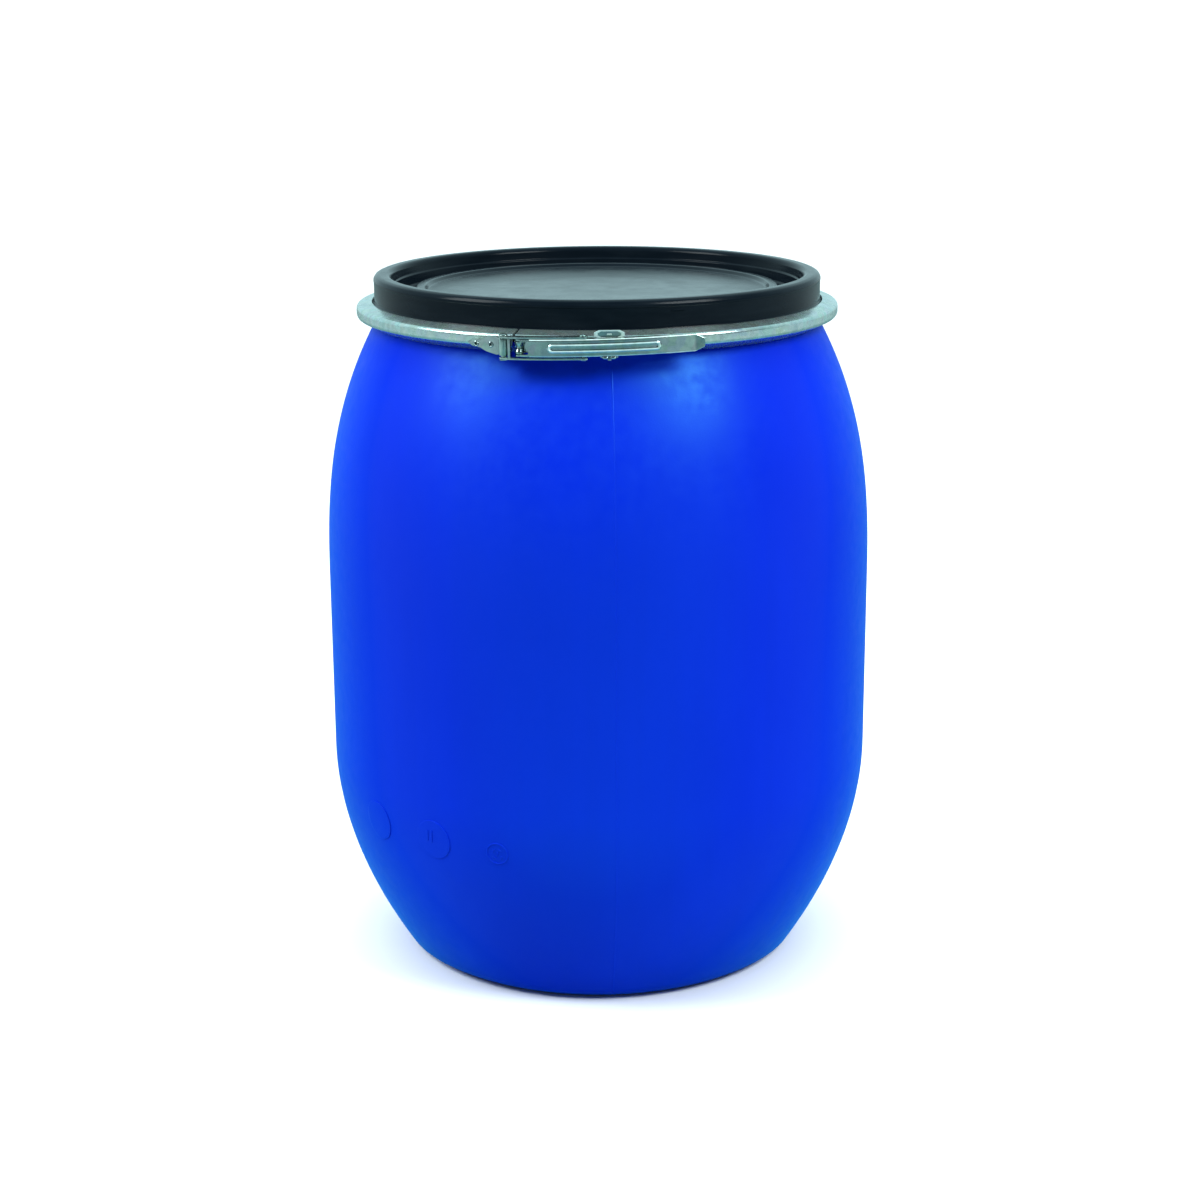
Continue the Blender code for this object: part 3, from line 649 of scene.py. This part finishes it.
def clamp_ring(finish):
    """The strip in six lengths. Each spans one flex line and meets the next in mid-stretch."""
    end = 180.0 - RING_END_GAP / 2
    mids = [0.0] + [(a + b) / 2 for a, b in zip(FLEX_ANGLES, FLEX_ANGLES[1:])] + [end]
    for side, sign in (("left", 1.0), ("right", -1.0)):
        nodes = ["clamp_ring_back"] + [f"clamp_ring_{side}_{p}" for p in ("rear", "mid", "front")]
        for i, flex in enumerate(FLEX_ANGLES):
            span = sorted(RING_BACK_AZIMUTH + sign * mid for mid in mids[i:i + 2])
            strip = swept(f"ring_strip_{side}_{i + 1}", lambda azimuth: RING_OUTLINE, *span, 1.0,
                          finish, 30)
            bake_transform(strip)
            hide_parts(nodes[i], nodes[i + 1])


# ---------------------------------------------------------------- clasp
def eyelet(name, azimuth, z, finish):
    """A tubular rivet: a rolled lip round a deep hole."""
    face = PLATE_RADIUS
    profile = rounded([(0.0, face - 2.2), (0.85, face - 2.2), (0.85, face + 0.35), (1.2, face + 0.8),
                       (1.9, face + 0.62), (2.05, face + 0.05), (1.2, face - 0.1),
                       (1.2, face - 3.0), (0.0, face - 3.0)], 0.3, 3)
    return pin(name, profile, outward(azimuth, z), finish, 24)


def dome_rivet(name, azimuth, z, finish):
    """A solid rivet with a low round head."""
    face = PLATE_RADIUS
    profile = rounded([(0.0, face + 1.2), (1.1, face + 1.1), (1.8, face + 0.5), (1.8, face + 0.05),
                       (1.1, face + 0.02), (1.1, face - 2.4), (0.0, face - 2.4)], 0.3, 3)
    return pin(name, profile, outward(azimuth, z), finish, 24)


def hinge_plate(finish):
    """The pointed plate on the ring's left end, with the barrel round the link's pin."""
    outline = [(-29.5, 477.9), (-28.2, 480.4), (-25.6, 481.2), (-24.5, 483.2), (-22.2, 483.2),
               (-21.8, KNUCKLE_HIGH_Z), (-20.4, KNUCKLE_HIGH_Z), (-20.4, KNUCKLE_LOW_Z),
               (-21.8, KNUCKLE_LOW_Z), (-22.2, 470.5), (-24.9, 472.6), (-26.3, 474.8),
               (-28.2, 475.6)]
    holes = [hole_at(a, CLASP_MID_Z, 1.3, PLATE_RADIUS) for a in HINGE_RIVETS]
    plate = ring_plate("hinge_leaf", rounded(outline, 0.5, 3, closed=True), holes, PLATE_RADIUS,
                       SHEET, finish)
    bore = KNUCKLE_RADIUS - 1.0
    barrel = rounded([(bore, KNUCKLE_LOW_Z), (KNUCKLE_RADIUS, KNUCKLE_LOW_Z),
                      (KNUCKLE_RADIUS, KNUCKLE_HIGH_Z), (bore, KNUCKLE_HIGH_Z)], 0.4, 3, closed=True)
    tube = pin("hinge_barrel", barrel, upright(PIVOT_RADIUS, LINK_PIVOT_AZIMUTH), finish)
    return joined(plate, tube)


def lever_bracket(finish):
    """The plate under the lever, and the waisted spool that it curls into round the lever's pin."""
    outline = [(-17.6, 472.8), (-5.6, 472.8), (-5.6, 481.0), (-17.6, 481.0)]
    plate = ring_plate("bracket_leaf", rounded(outline, 1.0, 3, closed=True), [], PLATE_RADIUS,
                       SHEET, finish)
    a, b = SPOOL_LOW_Z, SPOOL_HIGH_Z
    spool = rounded([(1.0, a), (3.1, a), (3.1, a + 1.4), (2.1, a + 3.4), (2.1, b - 3.4),
                     (3.1, b - 1.4), (3.1, b), (1.0, b)], 0.7, 3)
    core = pin("bracket_spool", spool, upright(PIVOT_RADIUS, LEVER_PIVOT_AZIMUTH), finish)
    return joined(plate, core)


def bead_rise(azimuth, z):
    """How far the hairpin bead stands out of the lever's face."""
    arc = math.radians(1.0) * LEVER_RADIUS
    start, end, half = BEAD
    x, y = azimuth * arc, z - CLASP_MID_Z
    inner_start, inner_end = start * arc + half, end * arc - half
    nearest = min(max(x, inner_start), inner_end)
    distance = abs(math.hypot(x - nearest, y) - half)
    if distance >= BEAD_WIDTH:
        return 0.0
    return BEAD_HEIGHT * math.cos(distance / BEAD_WIDTH * math.pi / 2) ** 2


def lever_section(azimuth):
    """The lever's channel: full flanges up to the blade, then flat, flaring out at its tip."""
    blade = min(1.0, max(0.0, (azimuth - BLADE_START + 1.2) / 2.4))
    edge = LEVER_INNER_EDGE + (LEVER_RADIUS - SHEET - 0.3 - LEVER_INNER_EDGE) * blade
    tip = min(1.0, max(0.0, (azimuth - LEVER_END + 0.9) / 1.9))
    narrow = 2.9 * tip
    top, bottom = LEVER_HIGH_Z - narrow, LEVER_LOW_Z + narrow
    flare = 1.9 * tip
    face = LEVER_RADIUS + flare
    path = rounded([(edge + flare, top), (face, top), (face, bottom), (edge + flare, bottom)],
                   1.1, 4)
    corner = len(path) // 2
    wall = np.linspace(path[corner - 1][1], path[corner][1], 42)[1:-1]
    path = path[:corner] + [np.array((face, z)) for z in wall] + path[corner:]
    outline = sheet_outline(path, SHEET)
    faced = []
    for r, z in outline:
        lift = bead_rise(azimuth, z) if r > LEVER_RADIUS - SHEET - 0.2 else 0.0
        faced.append((r + lift, z))
    return faced


def paint_highlight_on(piece, finish, painted_highlight):
    """Gives the brighter finish, a painted highlight, to the faces of the lever that the given test
    picks.
    """
    piece.data.materials.append(finish)
    for face in piece.data.polygons:
        x, y, z = (c / MM for c in face.center)
        if painted_highlight(math.degrees(math.atan2(x, -y)), math.hypot(x, y), z):
            face.material_index = 1


def lever_highlight_faces(azimuth, radius, z):
    """The bead and the two long edges of the lever's face: the faces that get the painted highlight."""
    at_edge = min(LEVER_HIGH_Z - z, z - LEVER_LOW_Z) < 0.75 and azimuth > -14.0
    return radius > LEVER_RADIUS - 0.9 and (at_edge or bead_rise(azimuth, z) > 0.5)


def lever(finish, bright):
    """The channel, open at its end over the pin, with the two flange ears that hold the pin."""
    body = swept("lever_channel", lever_section, LEVER_START, LEVER_END + 1.0, 0.25, finish, 30)
    window = [(-17.9, 473.0), (-14.35, 473.0), (-14.35, 481.4), (-17.9, 481.4)]
    cutter = ring_plate("window_cutter", rounded(window, 0.5, 2, closed=True), [],
                        LEVER_RADIUS + 3.0, 6.0, finish, 0.1)
    cut = body.modifiers.new("Window", "BOOLEAN")
    cut.operation = "DIFFERENCE"
    cut.solver = "EXACT"
    cut.object = cutter
    bpy.context.view_layer.update()
    graph = bpy.context.evaluated_depsgraph_get()
    mesh = bpy.data.meshes.new_from_object(body.evaluated_get(graph))
    body.modifiers.clear()
    body.data = mesh
    bpy.data.objects.remove(cutter)
    mesh.set_sharp_from_angle(angle=math.radians(30))
    # Painted highlight on the lever's bead and long edges.
    paint_highlight_on(body, bright, lever_highlight_faces)
    outline = arc_about(LEVER_PIVOT_AZIMUTH, PIVOT_RADIUS, LEVER_EAR_RADIUS, 90, 270)
    outline += [(LEVER_START + 0.4, PIVOT_RADIUS + side * LEVER_EAR_RADIUS) for side in (-1, 1)]
    ears = [level_plate(f"lever_ear_{side}", outline, [], top, SHEET, finish)
            for side, top in (("high", LEVER_HIGH_Z), ("low", LEVER_LOW_Z + SHEET))]
    return joined(body, *ears)


def link(finish):
    """The stirrup: an arm above the lever, one below it, and the web that joins them."""
    a, b = LINK_PIVOT_AZIMUTH, LINK_END_AZIMUTH
    outline = arc_about(a, PIVOT_RADIUS, LINK_EAR_RADIUS, 90, 270) + [(a + 1.3, 176.7), (b - 1.3, 177.0)]
    outline += arc_about(b, LINK_END_RADIUS, LINK_EAR_RADIUS, -90, 90)
    outline += [(b - 1.3, 181.8), (a + 1.3, 181.8)]
    holes = [hole_at(a, PIVOT_RADIUS, 2.1, PIVOT_RADIUS),
             hole_at(b, LINK_END_RADIUS, 1.3, PIVOT_RADIUS)]
    arms = [level_plate(name, outline, holes, top, LINK_SHEET, finish)
            for name, top in (("link_stirrup", LINK_TOP_Z), ("link_arm_low", LINK_BOTTOM_Z))]
    low_z, high_z = LINK_BOTTOM_Z - LINK_SHEET / 2, LINK_TOP_Z - LINK_SHEET / 2
    web = [(-18.95, low_z), (-18.4, low_z), (-18.4, high_z), (-18.95, high_z)]
    return joined(*arms, ring_plate("link_web", web, [], 181.8, 4.4, finish, 0.2))


def link_pin(finish):
    low_z, high_z = LINK_BOTTOM_Z - LINK_SHEET, LINK_TOP_Z
    outline = pin_outline(PIN_RADIUS, PIN_HEAD_RADIUS, low_z - 0.1 - PIN_HEAD_HEIGHT, low_z - 0.1,
                          high_z + 0.1, high_z + 0.1 + PIN_HEAD_HEIGHT, 0.7)
    return pin("link_hinge_pin", outline, upright(PIVOT_RADIUS, LINK_PIVOT_AZIMUTH), finish)


def lever_pin(finish):
    outline = rounded([(0.0, LEVER_HIGH_Z + 0.2), (1.5, LEVER_HIGH_Z + 0.2),
                       (PIN_RADIUS, LEVER_HIGH_Z - 0.2), (PIN_RADIUS, LEVER_LOW_Z + 0.2),
                       (1.5, LEVER_LOW_Z - 0.2), (0.0, LEVER_LOW_Z - 0.2)], 0.3, 3)
    return pin("lever_hinge_pin", outline, upright(PIVOT_RADIUS, LEVER_PIVOT_AZIMUTH), finish)


def link_rivet(name, start, end, finish):
    """A tubular rivet between the lever at height start and the outer face of an arm at end."""
    out = 1.0 if end > start else -1.0
    outline = rounded([(0.0, start), (1.2, start), (1.2, end), (2.3, end), (2.3, end + out * 0.4),
                       (1.5, end + out * 1.0), (0.7, end + out * 1.0), (0.6, end + out * 0.4),
                       (0.0, end + out * 0.4)], 0.3, 3)
    return pin(name, outline, upright(LINK_END_RADIUS, LINK_END_AZIMUTH), finish, 24)


def pin_outline(shank, head, bottom, low_grip, high_grip, top, crown):
    """Outline of a pin with a domed head at each end."""
    return rounded([(0.0, top), (head * 0.62, top - crown * 0.3), (head, top - crown),
                    (head, high_grip), (shank, high_grip), (shank, low_grip), (head, low_grip),
                    (head, bottom + crown), (head * 0.62, bottom + crown * 0.3), (0.0, bottom)],
                   0.35, 3)


def catch_plate(finish, bright):
    """The catch: an eight-sided seal ear above the lever, and a curled hook below it."""
    ear = [(-0.65, 484.8), (0.35, 483.2), (4.85, 483.2), (5.85, 484.8), (5.85, 487.1),
           (4.85, 488.7), (0.35, 488.7), (-0.65, 487.1)]
    face = ring_plate("catch_leaf", rounded(ear, 0.3, 3, closed=True), [], PLATE_RADIUS + 1.0, SHEET,
                      finish, 0.3)
    frame_in = [(0.1, 485.1), (0.9, 484.0), (4.3, 484.0), (5.1, 485.1), (5.1, 486.8), (4.3, 487.9),
                (0.9, 487.9), (0.1, 486.8)]
    # The border and the mark take the brighter finish: painted highlight on the ear's edge and its
    # centre mark.
    border = ring_plate("catch_border", rounded(ear, 0.3, 3, closed=True), [frame_in],
                        PLATE_RADIUS + 1.25, 0.6, bright, 0.12)
    mark = ring_plate("catch_mark", [(2.1, 485.5), (3.1, 485.5), (3.1, 486.4), (2.1, 486.4)], [],
                      PLATE_RADIUS + 1.4, 0.8, bright, 0.25)
    stem = ring_plate("catch_stem", [(0.7, 470.3), (4.5, 470.3), (4.5, 484.4), (0.7, 484.4)], [],
                      PLATE_RADIUS, SHEET, finish)
    tongue = level_plate("catch_tongue", [(1.0, 174.9), (4.0, 174.9), (4.0, CATCH_HOOK_RADIUS),
                                          (1.0, CATCH_HOOK_RADIUS)], [], CATCH_HOOK_Z, SHEET, finish)
    curls = []
    for i, azimuth in enumerate((1.7, 3.3)):
        lie = outward(azimuth, CATCH_HOOK_Z) @ Matrix.Rotation(math.radians(90.0), 4, "Y")
        lie.translation = around(CATCH_HOOK_RADIUS + 1.2, azimuth, CATCH_HOOK_Z - SHEET / 2)
        outline = rounded([(0.0, -1.7), (0.9, -1.6), (1.1, -1.0), (1.1, 1.0), (0.9, 1.6),
                           (0.0, 1.7)], 0.3, 3)
        curls.append(pin(f"catch_curl_{i}", outline, lie, finish, 20))
    nib = ring_plate("catch_nib", [(2.2, 469.4), (2.9, 469.4), (2.9, 471.2), (2.2, 471.2)], [],
                     182.0, 1.0, finish, 0.25)
    return joined(face, border, mark, stem, tongue, *curls, nib)


# ---------------------------------------------------------------- the whole object
def carry(piece, body, slot, *nodes):
    """Puts a piece on its body, in place of the CAD nodes that it stands for."""
    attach(piece, body)
    if nodes:
        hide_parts(*nodes)
    return piece


def build_clasp(zinc, painted_highlight):
    # The second finish is the brighter zinc of the clasp's painted highlights.
    left, right = "ring_left_front", "ring_right_front"
    carry(hinge_plate(zinc), left, "ring_zinc", "hinge_plate")
    for i, azimuth in enumerate(HINGE_RIVETS):
        carry(eyelet(f"eyelet_{i + 1}", azimuth, CLASP_MID_Z, zinc), left, "ring_zinc",
              f"hinge_plate_rivet_{i + 1}")
    carry(leaned(link_pin(zinc)), left, "ring_zinc", "link_pin")
    carry(lever_bracket(zinc), right, "ring_zinc", "lever_bracket")
    for i, azimuth in enumerate(BRACKET_RIVETS):
        carry(dome_rivet(f"bracket_rivet_{i + 1}", azimuth, RIVET_Z, zinc), right, "ring_zinc",
              f"lever_bracket_rivet_{i + 1}")
    carry(catch_plate(zinc, painted_highlight), right, "ring_zinc", "catch_plate")
    carry(dome_rivet("catch_fixing", CATCH_RIVET, RIVET_Z, zinc), right, "ring_zinc", "catch_rivet")
    carry(leaned(lever(zinc, painted_highlight)), "lever", "ring_zinc", "lever")
    carry(leaned(lever_pin(zinc)), "lever", "ring_zinc", "lever_pin")
    carry(leaned(link(zinc)), "link", "ring_zinc", "link")
    top, bottom = LINK_TOP_Z, LINK_BOTTOM_Z - LINK_SHEET
    carry(leaned(link_rivet("link_rivet_top", LEVER_HIGH_Z + 0.1, top, zinc)), "link", "ring_zinc",
          "link_stud_top")
    carry(leaned(link_rivet("link_rivet_bottom", LEVER_LOW_Z - 0.1, bottom, zinc)), "link",
          "ring_zinc", "link_stud_bottom")


def build_drum():
    blue, black = blue_hdpe(), black_hdpe()
    carry(drum_body(blue), "drum", "drum_blue", "drum_body")
    for piece in (*parting_lines(blue), *mould_stamps(blue)):
        carry(piece, "drum", "drum_blue")
    carry(lid(black), "lid", "lid_black", "lid")
    carry(lid_tick(black), "lid", "lid_black")
    carry(gasket(seal_rubber()), "lid", "seal_rubber", "lid_gasket")
    clamp_ring(galvanised("galvanised_strip", 0.95, 0.88, 0.20))
    # The third finish, lighter and less metallic, is the painted highlight on the clasp's bead, edges,
    # border and mark.
    build_clasp(galvanised("galvanised_pressings", 0.80, 1.0, 0.15),
                galvanised("galvanised_painted_highlight", 1.35, 0.45, 0.28))


# ---------------------------------------------------------------- studio
def studio_floor():
    """A pale floor that the camera sees as white. To the drum it shows painted shade ahead, lighter at
    the sides, and painted blue bounce light close to the foot."""
    f = Finish("floor_paint", (0.93, 0.94, 0.94), 0.8)
    f.give("Specular IOR Level", 0.0)
    # Painted shade ahead of the drum, lightening towards the sides.
    sides = f.ramp(f.share(f.absolute(f.along("X")), 0.0, 3.0), (0.22, (0.13, 0.22, 0.22)),
                   (0.95, (0.50, 0.58, 0.58)))
    # Painted blue bounce light on the floor close to the drum's foot.
    painted_blue_bounce = f.ramp(f.from_axis(), (0.28, (0.18, 0.46, 0.52)), (0.70, (0.14, 0.24, 0.26)))
    lit = f.blend(1.0, sides, painted_blue_bounce, "LIGHTEN")
    f.to("Base Color", f.seen_or_lit((0.95, 0.96, 0.96), lit))
    shape = bmesh.new()
    bmesh.ops.create_circle(shape, cap_ends=True, radius=60.0, segments=64)
    from_shape("studio_floor", shape, f.material)


def studio_walls():
    """A world that the camera sees as white, and that is bright behind the drum only."""
    world = bpy.data.worlds.new("studio")
    bpy.context.scene.world = world
    world.use_nodes = True
    w = Recipe(world.node_tree, "Generated")
    lit = w.ramp(w.share(w.along("Y"), -1.0, 1.0), (0.36, (0.09, 0.14, 0.15)),
                 (0.68, (0.66, 0.98, 1.04)))
    w.links.new(w.seen_or_lit((1.05, 1.06, 1.06), lit), w.nodes["Background"].inputs["Color"])


def area_light(name, azimuth, distance, height, size, power):
    """A soft box that faces the drum's middle. Its place and size are in metres."""
    data = bpy.data.lights.new(name, "AREA")
    data.shape = "RECTANGLE"
    data.size, data.size_y = size
    data.energy = power
    data.color = (0.9, 1.0, 1.0)
    made = bpy.data.objects.new(name, data)
    made.location = around(distance / MM, azimuth, height / MM)
    target = Vector((0.0, 0.0, 0.3))
    made.rotation_euler = (target - made.location).to_track_quat("-Z", "Y").to_euler()
    bpy.context.scene.collection.objects.link(made)


def studio_lights():
    area_light("box_left", -72.0, 1.9, 1.8, (1.0, 1.2), 46.0)
    area_light("box_right", 52.0, 2.1, 2.0, (1.1, 1.0), 58.0)
    sun = bpy.data.lights.new("ceiling", "SUN")
    sun.energy = 2.4
    sun.angle = math.radians(80.0)
    lamp = bpy.data.objects.new("ceiling", sun)
    lamp.visible_glossy = False
    bpy.context.scene.collection.objects.link(lamp)


def photo_camera():
    data = bpy.data.cameras.new("camera")
    data.sensor_width = 36.0
    data.lens = CAMERA_LENS
    camera = bpy.data.objects.new("camera", data)
    camera.location = CAMERA_PLACE
    tilt = Matrix.Rotation(math.radians(90.0 - CAMERA_DOWN), 4, "X")
    camera.rotation_euler = (tilt @ Matrix.Rotation(math.radians(CAMERA_ROLL), 4, "Z")).to_euler()
    bpy.context.scene.collection.objects.link(camera)
    bpy.context.scene.camera = camera
    bpy.context.scene.view_settings.view_transform = "Standard"


build_drum()
studio_floor()
studio_walls()
studio_lights()
photo_camera()
